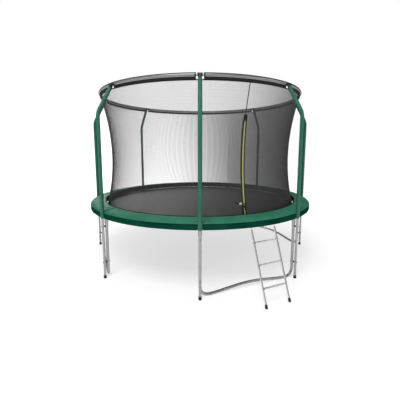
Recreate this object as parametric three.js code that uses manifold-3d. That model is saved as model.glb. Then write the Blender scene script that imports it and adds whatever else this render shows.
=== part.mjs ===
// Backyard trampoline: a round galvanised frame on four W-shaped legs, a sprung jumping mat, a padded
// spring cover, and an inner safety net hung from a hoop that eight bent, foam-sleeved poles carry.
// Millimetres, +Z up, floor at z = 0. Azimuths are degrees from +X; the front pole stands at -90.
import * as THREE from "three";
import { mergeVertices } from "three/addons/utils/BufferGeometryUtils.js";
import Module from "manifold-3d";

// ---- driving dimensions ----
const poleCount = 8;
const firstPoleAzimuth = -90;

const poleFootRadius = 1860; // pole axis to the middle of the trampoline, at the floor
const poleLean = 0.025; // inward run of a pole for each unit of its height
const poleTubeRadius = 16;
const poleBendDrop = 370; // bend below the hoop's axis
const poleBendRadius = 220;

const legTubeRadius = 19;
const legBendRadius = 130;
const legArchRise = 45; // the middle of a leg's base above its corners
const legArchEase = 1.5; // how gently the arch leaves the corners
const legPoleGap = 3; // a leg's socket to the pole's foam sleeve

const railTubeRadius = 21;
const railHeight = 875; // rail axis above the floor
const socketDepth = 85;
const socketWall = 3.5;

const matRadius = 1590;
const matThickness = 3;
const matDrop = 13; // top surface of the mat below the rail's axis
const hemWidth = 45;
const hemThickness = 8;

const springCount = 72;
const springRadius = 6;
const springRingWidth = 6;
const springHookReach = 12; // a spring's body stops this far short of the rail

const padInset = 14; // pad's inner edge outside the mat's
const padInnerRise = 100; // pad's inner edge above the mat
const padThickness = 26;
const padEdge = 8.67; // chamfer round the pad's edges
const padShoulder = 2; // extra height over the rail
const padOverlap = 40; // pad beyond the rail's axis
const skirtThickness = 8;
const skirtDrop = 62;
const skirtSeamWidth = 24;
const skirtSeamDepth = 3;

const sleeveRadius = 24;

const ringTubeRadius = 14;
const ringHeight = 2570;
const ringPieces = 2;
const ringStepsPerBay = 6;

const capRadius = 22;
const capHubLength = 60;
const capCupLength = 52;

const netRimInset = 8; // the net's rims inside the mat's edge and the hoop
const netWaistDepth = 117; // the waist inside the rims
const netThickness = 3;
const netTopDrop = 46; // net top below the hoop's axis

const zipAzimuth = -68.5;
const zipSliderHeight = 1040;
const zipSliderLength = 46;
const zipSliderWidth = 20;
const zipSliderThickness = 9;
const zipTailHalf = 6; // half the slider's width at its lower end
const zipPullLength = 52;
const zipPullHalf = 5.5;
const zipPullThickness = 3;
const zipPullHinge = 18; // the pull's upper end below the slider's
const zipStandoff = 5; // the slider's back off the net, clear of the tape under it

const ladderAzimuth = -65.5;
const ladderSpacing = 335; // between the axes of its two side rails
const ladderTubeRadius = 12.5;
const ladderTopDrop = 42; // top of a side rail's axis below the frame rail's axis
const ladderTopOffset = 50; // and outside it
const ladderRun = 345; // horizontal run from its top to its feet
const ladderRungHeights = [198, 440, 682];
const hookThickness = 5;
const hookWidth = 22;
const hookCover = 6; // the pad's underside above a hook
const hookWrap = 0.95; // share of a half turn that a hook goes round the rail
const hookNeck = 29.4; // a hook's straight part, below the rail's axis
const hookTail = 20; // and the part that laps its side rail, below the rail's top
const hookTailHalf = 6; // half that part's width
const ladderFootRadius = 17;
const ladderFootLength = 48;
const ladderTubeBottom = 12; // a side rail's end above the floor, inside its foot

const poleShoeRadius = 21;
const poleShoeHeight = 42;
const shoeSole = 5;

// ---- how finely round shapes are faceted ----
const tubeSides = 8;
const boreSides = 8;
const turnSteps = 48;
const shoeSides = 10;
const netRows = 6;
const railSteps = 8;
const legArchSteps = 6;
const bendSteps = 4;

// ---- clearances ----
const touchGap = 0.4; // faces that meet
const slipFit = 2.5; // a tube inside a sleeve, socket, cup or shoe
const ringFit = 3; // the hoop inside a cap's hub
const hookFit = 5; // a ladder hook round the frame rail
const poleSlot = 4; // a sleeve in its slot in the pad and skirt
const poleEndGap = 4; // a pole's end to the hoop inside its cap
const legEndGap = 4; // a leg's end to the rail's underside
const ringGap = 4.4; // the mat's edge to its row of rings
const netClearance = 4; // the net above the mat's hem

// ---- sizes that follow ----
const poleBendHeight = ringHeight - poleBendDrop;
const legPoleSpacing = legTubeRadius + slipFit + socketWall + legPoleGap + sleeveRadius; // axis to axis
const matHeight = railHeight - matDrop;
const ringRadius = matRadius; // the hoop stands over the mat's edge
const padInnerRadius = matRadius + padInset;
const padInnerHeight = matHeight + padInnerRise;
const netRimRadius = matRadius - netRimInset;
const netWaistRadius = netRimRadius - netWaistDepth;
const poleRadiusAt = (z) => poleFootRadius - poleLean * z;
const legRadiusAt = (z) => poleRadiusAt(z) - legPoleSpacing;
const railRadius = legRadiusAt(railHeight);
const springPhase = 180 / springCount; // half a pitch, so the ladder's hooks hang between springs
const padOuterRadius = railRadius + padOverlap;
const skirtOuterRadius = padOuterRadius + skirtThickness;
const hookTop = railHeight + railTubeRadius + hookFit + hookThickness;
const padOuterHeight = hookTop + hookCover; // underside, at the rail
const skirtTop = padOuterHeight - touchGap;
const skirtBottom = skirtTop - skirtDrop;
const springHeight = (matHeight + railHeight) / 2;
const netBottom = matHeight + (hemThickness - matThickness) / 2 + netClearance;
const netTop = ringHeight - netTopDrop;
const netWaistHeight = (netBottom + netTop) / 2;
const netHalfHeight = (netTop - netBottom) / 2;
const netFlare = netRimRadius - netWaistRadius;
const netArcRadius = (netHalfHeight ** 2 + netFlare ** 2) / (2 * netFlare);
const netRadiusAt = (z) =>
  netWaistRadius + netArcRadius - Math.sqrt(netArcRadius ** 2 - (z - netWaistHeight) ** 2);
const poleTopGap = ringTubeRadius + ringFit + poleEndGap; // pole end to the hoop's axis

// ---- solids ----
const wasm = await Module();
wasm.setup();

function solidFrom(geometry) {
  const bare = geometry.index ? geometry.toNonIndexed() : geometry.clone();
  bare.deleteAttribute("normal");
  bare.deleteAttribute("uv");
  const merged = mergeVertices(bare, 1e-3);
  const mesh = new wasm.Mesh({
    numProp: 3,
    vertProperties: merged.attributes.position.array,
    triVerts: new Uint32Array(merged.index.array),
  });
  return new wasm.Manifold(mesh);
}

function geometryFrom(solid) {
  const mesh = solid.getMesh();
  const geometry = new THREE.BufferGeometry();
  geometry.setAttribute("position", new THREE.BufferAttribute(new Float32Array(mesh.vertProperties), 3));
  geometry.setIndex(new THREE.BufferAttribute(new Uint32Array(mesh.triVerts), 1));
  geometry.computeVertexNormals();
  return geometry;
}

function polar(radius, azimuth, z) {
  const a = THREE.MathUtils.degToRad(azimuth);
  return new THREE.Vector3(radius * Math.cos(a), radius * Math.sin(a), z);
}

// A route through listed points, stepped point by point so that straight stretches take one step.
class Route extends THREE.Curve {
  constructor(points) {
    super();
    this.points = points;
  }
  getUtoTmapping(u) {
    return u;
  }
  getPoint(t, target = new THREE.Vector3()) {
    const last = this.points.length - 1;
    const place = THREE.MathUtils.clamp(t, 0, 1) * last;
    const step = Math.min(Math.floor(place), last - 1);
    return target.lerpVectors(this.points[step], this.points[step + 1], place - step);
  }
}

// A level arc about the trampoline's middle, between two azimuths.
class LevelArc extends THREE.Curve {
  constructor(radius, z, from, to) {
    super();
    Object.assign(this, { radius, z, from, to });
  }
  getUtoTmapping(u) {
    return u;
  }
  getPoint(t, target = new THREE.Vector3()) {
    return target.copy(polar(this.radius, this.from + (this.to - this.from) * t, this.z));
  }
  getTangent(t, target = new THREE.Vector3()) {
    return target.copy(polar(1, this.from + (this.to - this.from) * t + 90, 0));
  }
}

// The corner points replaced by bends of the given radius.
function roundedRoute(corners, bendRadius) {
  const route = [corners[0].clone()];
  for (let i = 1; i < corners.length - 1; i++) {
    const back = corners[i - 1].clone().sub(corners[i]).normalize();
    const ahead = corners[i + 1].clone().sub(corners[i]).normalize();
    const setback = bendRadius / Math.tan(back.angleTo(ahead) / 2);
    const start = corners[i].clone().addScaledVector(back, setback);
    const end = corners[i].clone().addScaledVector(ahead, setback);
    const bend = new THREE.QuadraticBezierCurve3(start, corners[i], end);
    route.push(...bend.getPoints(bendSteps));
  }
  route.push(corners.at(-1).clone());
  return route;
}

function circleShape(radius, sides) {
  const points = [];
  for (let i = 0; i < sides; i++) {
    const a = (2 * Math.PI * i) / sides;
    points.push(new THREE.Vector2(radius * Math.cos(a), radius * Math.sin(a)));
  }
  return points;
}

function tube(path, steps, outerRadius, innerRadius = 0, sides = tubeSides) {
  const section = new THREE.Shape(circleShape(outerRadius, sides));
  if (innerRadius > 0) section.holes.push(new THREE.Path(circleShape(innerRadius, sides)));
  return new THREE.ExtrudeGeometry(section, { steps, extrudePath: path });
}

function tubeAlong(points, outerRadius, innerRadius, sides) {
  return tube(new Route(points), points.length - 1, outerRadius, innerRadius, sides);
}

function turned(profile, segments = turnSteps) {
  const points = profile.map(([r, z]) => new THREE.Vector2(r, z));
  const geometry = new THREE.LatheGeometry(points, segments);
  return geometry.rotateX(Math.PI / 2);
}

// ---- materials ----
const steel = new THREE.MeshStandardMaterial({ color: 0xb4b6b8, roughness: 0.38, metalness: 0.9 });
const greenVinyl = new THREE.MeshStandardMaterial({ color: 0x2b6f56, roughness: 0.5, metalness: 0 });
const sleeveVinyl = new THREE.MeshStandardMaterial({ color: 0x2f7560, roughness: 0.45, metalness: 0 });
const blackMat = new THREE.MeshStandardMaterial({ color: 0x2c2c2c, roughness: 0.8, metalness: 0 });
const netCloth = new THREE.MeshStandardMaterial({ color: 0x1c1d1e, roughness: 0.8, metalness: 0 });
const blackPlastic = new THREE.MeshStandardMaterial({ color: 0x151515, roughness: 0.5, metalness: 0 });
const blackRubber = new THREE.MeshStandardMaterial({ color: 0x0d0d0d, roughness: 0.8, metalness: 0 });

const trampoline = new THREE.Group();

function addPiece(name, geometry, material, parent = trampoline) {
  const mesh = new THREE.Mesh(geometry, material);
  mesh.name = name;
  parent.add(mesh);
  return mesh;
}

const bayAngle = 360 / poleCount;
const poleAzimuths = Array.from({ length: poleCount }, (_, i) => firstPoleAzimuth + i * bayAngle);

// ---- poles ----
// A pole leans in as it rises, then bends over to the hoop.
function poleCorners(azimuth) {
  const foot = polar(poleRadiusAt(shoeSole), azimuth, shoeSole + touchGap);
  const bend = polar(poleRadiusAt(poleBendHeight), azimuth, poleBendHeight);
  const hoop = polar(ringRadius, azimuth, ringHeight);
  const reach = hoop.clone().sub(bend);
  const top = bend.clone().addScaledVector(reach.normalize(), bend.distanceTo(hoop) - poleTopGap);
  return [foot, bend, top];
}

function poleAxisAt(azimuth, z) {
  return polar(poleRadiusAt(z), azimuth, z);
}

function poleGeometry(azimuth) {
  return tubeAlong(roundedRoute(poleCorners(azimuth), poleBendRadius), poleTubeRadius);
}

// A foam sleeve in a vinyl cover, from the skirt's hem to the pole's cap.
function sleeveGeometry(azimuth) {
  const [, bend, top] = poleCorners(azimuth);
  const start = poleAxisAt(azimuth, skirtBottom);
  const back = bend.clone().sub(top).normalize();
  const end = top.clone().addScaledVector(back, capCupLength - poleTopGap + touchGap);
  const route = roundedRoute([start, bend, end], poleBendRadius);
  return tubeAlong(route, sleeveRadius, poleTubeRadius + slipFit);
}

// A moulded cap: a cup over the pole's end and a hub that the hoop passes through.
function capGeometry(azimuth) {
  const [, bend, top] = poleCorners(azimuth);
  const hoop = polar(ringRadius, azimuth, ringHeight);
  const down = bend.clone().sub(top).normalize();
  const mouth = hoop.clone().addScaledVector(down, capCupLength);
  const cup = solidFrom(tubeAlong([mouth, hoop], capRadius, 0, boreSides));
  const along = polar(1, azimuth + 90, 0);
  const half = along.clone().multiplyScalar(capHubLength / 2);
  const hub = solidFrom(tubeAlong([hoop.clone().sub(half), hoop.clone().add(half)], capRadius, 0, boreSides));
  const before = hoop.clone().addScaledVector(along, -capHubLength);
  const after = hoop.clone().addScaledVector(along, capHubLength);
  const bore = solidFrom(tubeAlong([before, after], ringTubeRadius + ringFit, 0, boreSides));
  const seatStart = top.clone().addScaledVector(down, capCupLength);
  const seatEnd = top.clone().addScaledVector(down, -touchGap);
  const seat = solidFrom(tubeAlong([seatStart, seatEnd], poleTubeRadius + slipFit, 0, boreSides));
  return geometryFrom(cup.add(hub).subtract(bore).subtract(seat));
}

// A rubber shoe, upright on the floor, that the pole's lower end stands in.
function poleShoeGeometry() {
  const bore = poleTubeRadius + slipFit;
  return turned(
    [
      [0, 0],
      [poleShoeRadius, 0],
      [poleShoeRadius, poleShoeHeight],
      [bore, poleShoeHeight],
      [bore, shoeSole],
      [0, shoeSole],
    ],
    shoeSides,
  );
}

poleAzimuths.forEach((azimuth, i) => {
  const n = i + 1;
  addPiece(`net_pole_${n}`, poleGeometry(azimuth), steel);
  addPiece(`pole_sleeve_${n}`, sleeveGeometry(azimuth), sleeveVinyl);
  addPiece(`pole_cap_${n}`, capGeometry(azimuth), blackPlastic);
  addPiece(`pole_shoe_${n}`, poleShoeGeometry(), blackRubber).position.copy(poleAxisAt(azimuth, 0).setZ(0));
});

// ---- frame rail sections, each with a welded socket for a leg ----
function railGeometry(azimuth) {
  const endGap = THREE.MathUtils.radToDeg(touchGap / railRadius);
  const half = bayAngle / 2 - endGap;
  const axis = new LevelArc(railRadius, railHeight, azimuth - half, azimuth + half);
  const arc = solidFrom(tube(axis, railSteps, railTubeRadius));
  const mouthHeight = railHeight - railTubeRadius - socketDepth;
  const mouth = polar(legRadiusAt(mouthHeight), azimuth, mouthHeight);
  const crown = polar(legRadiusAt(railHeight), azimuth, railHeight);
  const socketRadius = legTubeRadius + slipFit + socketWall;
  const socket = solidFrom(tubeAlong([mouth, crown], socketRadius, 0, boreSides));
  const below = polar(legRadiusAt(mouthHeight - socketDepth), azimuth, mouthHeight - socketDepth);
  const seat = polar(legRadiusAt(legTopHeight + touchGap), azimuth, legTopHeight + touchGap);
  const bore = solidFrom(tubeAlong([below, seat], legTubeRadius + slipFit, 0, boreSides));
  return geometryFrom(arc.add(socket).subtract(bore));
}

const legTopHeight = railHeight - railTubeRadius - legEndGap;

poleAzimuths.forEach((azimuth, i) => {
  addPiece(`frame_rail_${i + 1}`, railGeometry(azimuth), steel);
});

// ---- legs: each is one bent tube that joins two neighbouring sockets ----
function legGeometry(azimuthA, azimuthB) {
  const floorAxis = legTubeRadius;
  const topA = polar(legRadiusAt(legTopHeight), azimuthA, legTopHeight);
  const topB = polar(legRadiusAt(legTopHeight), azimuthB, legTopHeight);
  const cornerA = polar(legRadiusAt(floorAxis), azimuthA, floorAxis);
  const cornerB = polar(legRadiusAt(floorAxis), azimuthB, floorAxis);
  const route = roundedRoute([topA, cornerA, cornerB, topB], legBendRadius);
  const uprightA = route.slice(0, bendSteps + 2);
  const uprightB = route.slice(bendSteps + 2);
  const archStart = uprightA.at(-1);
  const archEnd = uprightB[0];
  const arch = [];
  for (let i = 1; i < legArchSteps; i++) {
    const point = new THREE.Vector3().lerpVectors(archStart, archEnd, i / legArchSteps);
    point.z += legArchRise * Math.sin((Math.PI * i) / legArchSteps) ** legArchEase;
    arch.push(point);
  }
  return tubeAlong([...uprightA, ...arch, ...uprightB], legTubeRadius);
}

for (let i = 0; i < poleCount; i += 2) {
  addPiece(`w_leg_${i / 2 + 1}`, legGeometry(poleAzimuths[i], poleAzimuths[i + 1]), steel);
}

// ---- top hoop ----
const ringSpan = 360 / ringPieces;
const ringSteps = (ringStepsPerBay * poleCount) / ringPieces;
for (let i = 0; i < ringPieces; i++) {
  const from = firstPoleAzimuth + i * ringSpan;
  const trim = THREE.MathUtils.radToDeg(touchGap / ringRadius);
  const axis = new LevelArc(ringRadius, ringHeight, from + trim, from + ringSpan - trim);
  addPiece(`hoop_tube_${i + 1}`, tube(axis, ringSteps, ringTubeRadius), steel);
}

// ---- jumping mat ----
const matUnderside = matHeight - matThickness;
const hemTop = matHeight + (hemThickness - matThickness) / 2;
const hemBottom = hemTop - hemThickness;
const matProfile = [
  [0, matUnderside],
  [matRadius - hemWidth, matUnderside],
  [matRadius - hemWidth, hemBottom],
  [matRadius, hemBottom],
  [matRadius, hemTop],
  [matRadius - hemWidth, hemTop],
  [matRadius - hemWidth, matHeight],
  [0, matHeight],
];
addPiece("jumping_mat", turned(matProfile), blackMat);

// ---- springs: straight bars on one thin ring that stands for the mat's row of rings ----
function springsGeometry() {
  const inner = matRadius + ringGap;
  const root = inner + springRingWidth;
  const tip = railRadius - railTubeRadius - springHookReach;
  const outline = [];
  for (let i = 0; i < springCount; i++) {
    const azimuth = (i * 360) / springCount;
    const away = polar(1, azimuth, 0);
    const aside = polar(springRadius, azimuth + 90, 0);
    for (const [radius, side] of [[root, -1], [tip, -1], [tip, 1], [root, 1]]) {
      outline.push(new THREE.Vector2(radius * away.x + side * aside.x, radius * away.y + side * aside.y));
    }
  }
  const shape = new THREE.Shape(outline);
  shape.holes.push(new THREE.Path(circleShape(inner, springCount)));
  const bars = new THREE.ExtrudeGeometry(shape, { depth: 2 * springRadius, bevelEnabled: false });
  bars.rotateZ(THREE.MathUtils.degToRad(springPhase));
  return bars.translate(0, 0, springHeight - springRadius);
}
addPiece("springs", springsGeometry(), steel);

// ---- spring pad and its skirt, slotted where the poles pass ----
function poleSlots() {
  return poleAzimuths.map((azimuth) => {
    const low = poleAxisAt(azimuth, skirtBottom - skirtDrop);
    const high = poleAxisAt(azimuth, padInnerHeight + skirtDrop);
    return solidFrom(tubeAlong([low, high], sleeveRadius + poleSlot, 0, boreSides));
  });
}

function slotted(geometry) {
  const slots = wasm.Manifold.union(poleSlots());
  return geometryFrom(solidFrom(geometry).subtract(slots));
}

const padInnerBottom = padInnerHeight - padThickness;
const padOuterTop = padOuterHeight + padThickness;
const padProfile = [
  [padInnerRadius, padInnerBottom + padEdge],
  [padInnerRadius + padEdge, padInnerBottom],
  [railRadius - railTubeRadius, padOuterHeight],
  [padOuterRadius, padOuterHeight],
  [padOuterRadius, padOuterHeight + padEdge],
  [padOuterRadius - padEdge, padOuterTop - padEdge / 2],
  [railRadius - railTubeRadius, padOuterTop + padShoulder],
  [padInnerRadius + padEdge, padInnerHeight],
  [padInnerRadius, padInnerHeight - padEdge],
];
padProfile.push(padProfile[0]);
addPiece("spring_pad", slotted(turned(padProfile)), greenVinyl);

const skirtSeamRadius = padOuterRadius - skirtSeamWidth;
const skirtProfile = [
  [skirtSeamRadius, skirtTop - skirtSeamDepth],
  [padOuterRadius, skirtTop - skirtSeamDepth],
  [padOuterRadius, skirtBottom],
  [skirtOuterRadius, skirtBottom],
  [skirtOuterRadius, skirtTop],
  [skirtSeamRadius, skirtTop],
];
skirtProfile.push(skirtProfile[0]);
addPiece("pad_skirt", slotted(turned(skirtProfile)), greenVinyl);

// ---- safety net: one wall that draws in to a waist ----
const netProfile = [];
for (let i = 0; i <= netRows; i++) {
  const z = netBottom + ((netTop - netBottom) * i) / netRows;
  netProfile.push([netRadiusAt(z), z]);
}
for (let i = netRows; i >= 0; i--) {
  const z = netBottom + ((netTop - netBottom) * i) / netRows;
  netProfile.push([netRadiusAt(z) - netThickness, z]);
}
netProfile.push(netProfile[0]);
addPiece("safety_net", turned(netProfile), netCloth);

// ---- zip slider on the net's door ----
function zipSliderGeometry() {
  const w = zipSliderWidth / 2;
  const l = zipSliderLength / 2;
  const body = new THREE.Shape();
  body.moveTo(-zipTailHalf, -l);
  body.lineTo(zipTailHalf, -l);
  body.lineTo(w, l - w);
  body.quadraticCurveTo(w, l, 0, l);
  body.quadraticCurveTo(-w, l, -w, l - w);
  body.closePath();
  const bodyDepth = { depth: zipSliderThickness, bevelEnabled: false, curveSegments: 5 };
  const block = new THREE.ExtrudeGeometry(body, bodyDepth);
  const tab = new THREE.Shape();
  const t = zipPullHalf;
  const hinge = l - zipPullHinge;
  tab.moveTo(-t, -l - zipPullLength + t);
  tab.quadraticCurveTo(0, -l - zipPullLength - t, t, -l - zipPullLength + t);
  tab.lineTo(t, hinge);
  tab.lineTo(-t, hinge);
  tab.closePath();
  const pullDepth = { depth: zipPullThickness, bevelEnabled: false, curveSegments: 5 };
  const pull = new THREE.ExtrudeGeometry(tab, pullDepth);
  pull.translate(0, 0, zipSliderThickness - zipPullThickness / 3);
  return geometryFrom(solidFrom(block).add(solidFrom(pull)));
}
const sliderNormalTilt = Math.asin((zipSliderHeight - netWaistHeight) / netArcRadius);
const sliderPlace = new THREE.Group();
sliderPlace.rotation.z = THREE.MathUtils.degToRad(zipAzimuth + 90);
const sliderTilt = new THREE.Group();
sliderTilt.position.set(0, -(netRadiusAt(zipSliderHeight) + zipStandoff), zipSliderHeight);
sliderTilt.rotation.x = Math.PI / 2 + sliderNormalTilt;
sliderPlace.add(sliderTilt);
trampoline.add(sliderPlace);
addPiece("zip_slider", zipSliderGeometry(), blackPlastic, sliderTilt);

// ---- ladder ----
// Its own frame: +X away from the trampoline, +Y along the rungs, origin on the floor below the hinge line.
const ladder = new THREE.Group();
ladder.rotation.z = THREE.MathUtils.degToRad(ladderAzimuth);
trampoline.add(ladder);
const hingeRadius = Math.sqrt(railRadius ** 2 - (ladderSpacing / 2) ** 2);
const ladderTopHeight = railHeight - ladderTopDrop;
const ladderTopX = hingeRadius + ladderTopOffset;
const ladderAxisX = (z) => ladderTopX + (ladderRun * (ladderTopHeight - z)) / ladderTopHeight;
const ladderPoint = (y, z) => new THREE.Vector3(ladderAxisX(z), y, z);

// A side rail: a tube whose flattened top is a hook over the frame rail.
function ladderRailGeometry(y) {
  const low = ladderPoint(y, ladderTubeBottom);
  const rail = solidFrom(tubeAlong([low, ladderPoint(y, ladderTopHeight)], ladderTubeRadius));
  const inside = railTubeRadius + hookFit;
  const outside = inside + hookThickness;
  const hook = new THREE.Shape();
  hook.absarc(0, 0, outside, 0, hookWrap * Math.PI, false);
  hook.absarc(0, 0, inside, hookWrap * Math.PI, 0, true);
  hook.lineTo(inside, -hookNeck);
  hook.lineTo(ladderTopOffset - hookTailHalf, -ladderTopDrop - hookTail - hookTailHalf);
  hook.lineTo(ladderTopOffset + hookTailHalf, -ladderTopDrop - hookTail + hookTailHalf);
  hook.lineTo(outside, hookTailHalf / 3 - hookNeck);
  hook.closePath();
  const plate = new THREE.ExtrudeGeometry(hook, { depth: hookWidth, bevelEnabled: false, curveSegments: 7 });
  plate.rotateX(Math.PI / 2);
  plate.translate(hingeRadius, y + hookWidth / 2, railHeight);
  return geometryFrom(rail.add(solidFrom(plate)));
}

function ladderFootGeometry(y) {
  const axisLow = ladderPoint(y, 0);
  const up = ladderPoint(y, ladderTopHeight).sub(axisLow).normalize();
  const below = axisLow.clone().addScaledVector(up, -ladderFootLength);
  const above = axisLow.clone().addScaledVector(up, ladderFootLength);
  const cover = solidFrom(tubeAlong([below, above], ladderFootRadius, 0, boreSides));
  const seat = ladderPoint(y, ladderTubeBottom - touchGap);
  const beyond = above.clone().addScaledVector(up, ladderFootLength);
  const bore = solidFrom(tubeAlong([seat, beyond], ladderTubeRadius + slipFit, 0, boreSides));
  const depth = 4 * ladderFootLength;
  const ground = new THREE.BoxGeometry(depth, depth, depth);
  ground.translate(axisLow.x, y, -depth / 2);
  return geometryFrom(cover.subtract(bore).subtract(solidFrom(ground)));
}

const rungEnd = ladderSpacing / 2 - ladderTubeRadius - touchGap;
ladderRungHeights.forEach((z, i) => {
  const rung = tubeAlong([ladderPoint(-rungEnd, z), ladderPoint(rungEnd, z)], ladderTubeRadius);
  addPiece(`ladder_rung_${i + 1}`, rung, steel, ladder);
});
for (const [side, y] of [["left", -ladderSpacing / 2], ["right", ladderSpacing / 2]]) {
  addPiece(`ladder_rail_${side}`, ladderRailGeometry(y), steel, ladder);
  addPiece(`ladder_foot_${side}`, ladderFootGeometry(y), blackRubber, ladder);
}

// The origin is on the floor, under the middle of the whole footprint with its ladder.
const assembly = new THREE.Group();
assembly.add(trampoline);
const footprint = new THREE.Box3().setFromObject(assembly);
trampoline.position.y = -(footprint.min.y + footprint.max.y) / 2;

export default assembly;
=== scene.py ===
from math import asin, cos, degrees, exp, hypot, pi, radians, sin, sqrt, tan

import bpy
import bmesh
import numpy as np
from mathutils import Matrix, Vector, noise


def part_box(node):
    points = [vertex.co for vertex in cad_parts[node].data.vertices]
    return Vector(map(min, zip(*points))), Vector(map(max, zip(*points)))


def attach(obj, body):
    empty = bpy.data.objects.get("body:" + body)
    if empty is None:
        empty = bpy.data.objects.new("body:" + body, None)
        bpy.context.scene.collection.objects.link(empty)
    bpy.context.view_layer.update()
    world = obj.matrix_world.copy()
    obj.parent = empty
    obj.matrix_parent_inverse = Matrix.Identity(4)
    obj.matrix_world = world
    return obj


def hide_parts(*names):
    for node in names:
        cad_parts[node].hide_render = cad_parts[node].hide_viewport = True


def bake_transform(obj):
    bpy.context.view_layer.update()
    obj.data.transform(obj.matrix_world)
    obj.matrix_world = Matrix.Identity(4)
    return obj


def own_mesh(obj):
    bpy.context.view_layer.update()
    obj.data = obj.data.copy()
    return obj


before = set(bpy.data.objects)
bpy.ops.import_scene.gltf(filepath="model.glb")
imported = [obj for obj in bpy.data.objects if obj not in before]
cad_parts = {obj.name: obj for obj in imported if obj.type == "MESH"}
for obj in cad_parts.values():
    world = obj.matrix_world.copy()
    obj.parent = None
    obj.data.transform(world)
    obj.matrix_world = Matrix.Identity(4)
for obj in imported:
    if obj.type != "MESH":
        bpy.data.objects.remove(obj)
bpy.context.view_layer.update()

# --- sizes, in metres
MAT_LOW, MAT_HIGH = (Vector(v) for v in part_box("jumping_mat"))
NET_LOW, NET_HIGH = (Vector(v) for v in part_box("safety_net"))
HOOP_LOW, HOOP_HIGH = (Vector(v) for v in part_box("hoop_tube_1"))
PAD_LOW, PAD_HIGH = (Vector(v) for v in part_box("spring_pad"))
SKIRT_LOW, SKIRT_HIGH = (Vector(v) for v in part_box("pad_skirt"))
HUB = Vector(((MAT_LOW.x + MAT_HIGH.x) / 2, (MAT_LOW.y + MAT_HIGH.y) / 2, 0))
UP = Vector((0, 0, 1))
ROUND_STEPS = 288

POLES = 8
BAY = 360 / POLES
POLE_AZIMUTHS = [-90 + BAY * i for i in range(POLES)]
POLE_TUBE = 0.016
POLE_FOOT = 1.860
POLE_LEAN = 0.025
POLE_BEND = 2.200
CLAMP_HEIGHTS = (0.232, 0.738)
BEND_SETBACK_RADIUS = 0.220
LEG_TUBE = 0.019
LEG_GAP = 0.052
LEG_TOP = 0.850
LEG_BEND = 0.130
LEG_ARCH = 0.045
RAIL_TUBE = 0.021
RAIL_Z = 0.875
RAIL_R = POLE_FOOT - POLE_LEAN * RAIL_Z - LEG_GAP
SOCKET_LOW = 0.769
SOCKET_R = 0.025
MAT_R = 1.590
MAT_TOP = 0.862
MAT_THICK = 0.003
HEM_WIDTH = 0.045
SPRINGS = 72
SPRING_PHASE = 180 / SPRINGS
SPRING_Z = 0.8685
PAD_INNER = 1.604
PAD_OUTER = 1.8261
PAD_THICK = 0.026
SKIRT_R = 1.8301
SLEEVE_R = 0.024
HOOP_R = 1.590
HOOP_Z = (HOOP_LOW.z + HOOP_HIGH.z) / 2
HOOP_TUBE = 0.014
CAP_R = 0.022
CAP_HALF = 0.030
CAP_CUP = 0.052
NET_WAIST = 1.465
NET_RIM = 1.582
NET_MID = (NET_LOW.z + NET_HIGH.z) / 2
NET_HALF = (NET_HIGH.z - NET_LOW.z) / 2
NET_ARC = (NET_HALF ** 2 + (NET_RIM - NET_WAIST) ** 2) / (2 * (NET_RIM - NET_WAIST))
ZIP_AZIMUTH = -68.5
ZIP_SLIDER_Z = 1.040
LADDER_AZIMUTH = -65.5
LADDER_HALF = 0.1675
LADDER_TUBE = 0.0125
LADDER_TOP = 0.833
LADDER_HINGE_X = sqrt(RAIL_R ** 2 - LADDER_HALF ** 2)
LADDER_OFFSET = 0.050
LADDER_RUN = 0.345
RUNG_HEIGHTS = (0.198, 0.440, 0.682)


def polar(radius, azimuth, z=0.0):
    a = radians(azimuth)
    return Vector((HUB.x + radius * cos(a), HUB.y + radius * sin(a), z))


def outward(azimuth):
    a = radians(azimuth)
    return Vector((cos(a), sin(a), 0))


def sideways(azimuth):
    return outward(azimuth + 90)


def smooth(a, b, x):
    t = min(max((x - a) / (b - a), 0.0), 1.0)
    return t * t * (3 - 2 * t)


def net_radius(z):
    z = min(max(z, NET_LOW.z), NET_HIGH.z)
    return NET_WAIST + NET_ARC - sqrt(NET_ARC ** 2 - (z - NET_MID) ** 2)


def linked(name, data):
    """A new object in the scene."""
    obj = bpy.data.objects.new(name, data)
    bpy.context.scene.collection.objects.link(obj)
    return obj


# --- camera
CAMERA_BACK = 4.759
CAMERA_HEIGHT = 1.774
CAMERA_TILT = 78.96
camera_data = bpy.data.cameras.new("camera")
camera_data.lens = 24.09
camera_data.sensor_width = 36
camera = linked("camera", camera_data)
camera.location = (HUB.x, HUB.y - CAMERA_BACK, CAMERA_HEIGHT)
camera.rotation_euler = (radians(CAMERA_TILT), 0, 0)
bpy.context.scene.camera = camera


# --- mesh building
class Shell:
    """Collects closed bodies, each with a material index, into one mesh."""

    def __init__(self):
        self.verts, self.faces, self.slots = [], [], []

    def add(self, body, slot=0):
        verts, faces = body
        start = len(self.verts)
        self.verts.extend(tuple(v) for v in verts)
        self.faces.extend([i + start for i in face] for face in faces)
        self.slots.extend([slot] * len(faces))
        return self

    def piece(self, name, materials, slot, body="frame", crease=40, stands_for=None):
        """One visible piece, on a body of the model and in place of the CAD node it stands for."""
        mesh = bpy.data.meshes.new(name)
        mesh.from_pydata(self.verts, [], self.faces)
        mesh.polygons.foreach_set("material_index", self.slots)
        for material in materials:
            mesh.materials.append(material)
        mesh.shade_smooth()
        mesh.set_sharp_from_angle(angle=radians(crease))
        mesh.update()
        obj = linked(name, mesh)
        if body:
            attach(obj, body)
        if stands_for:
            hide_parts(stands_for)
        return obj


def lattice(rows, columns, wrap_rows=False, wrap_columns=True):
    faces = []
    for i in range(rows if wrap_rows else rows - 1):
        for j in range(columns if wrap_columns else columns - 1):
            k, m = (i + 1) % rows, (j + 1) % columns
            faces.append([i * columns + j, i * columns + m, k * columns + m, k * columns + j])
    return faces


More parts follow.
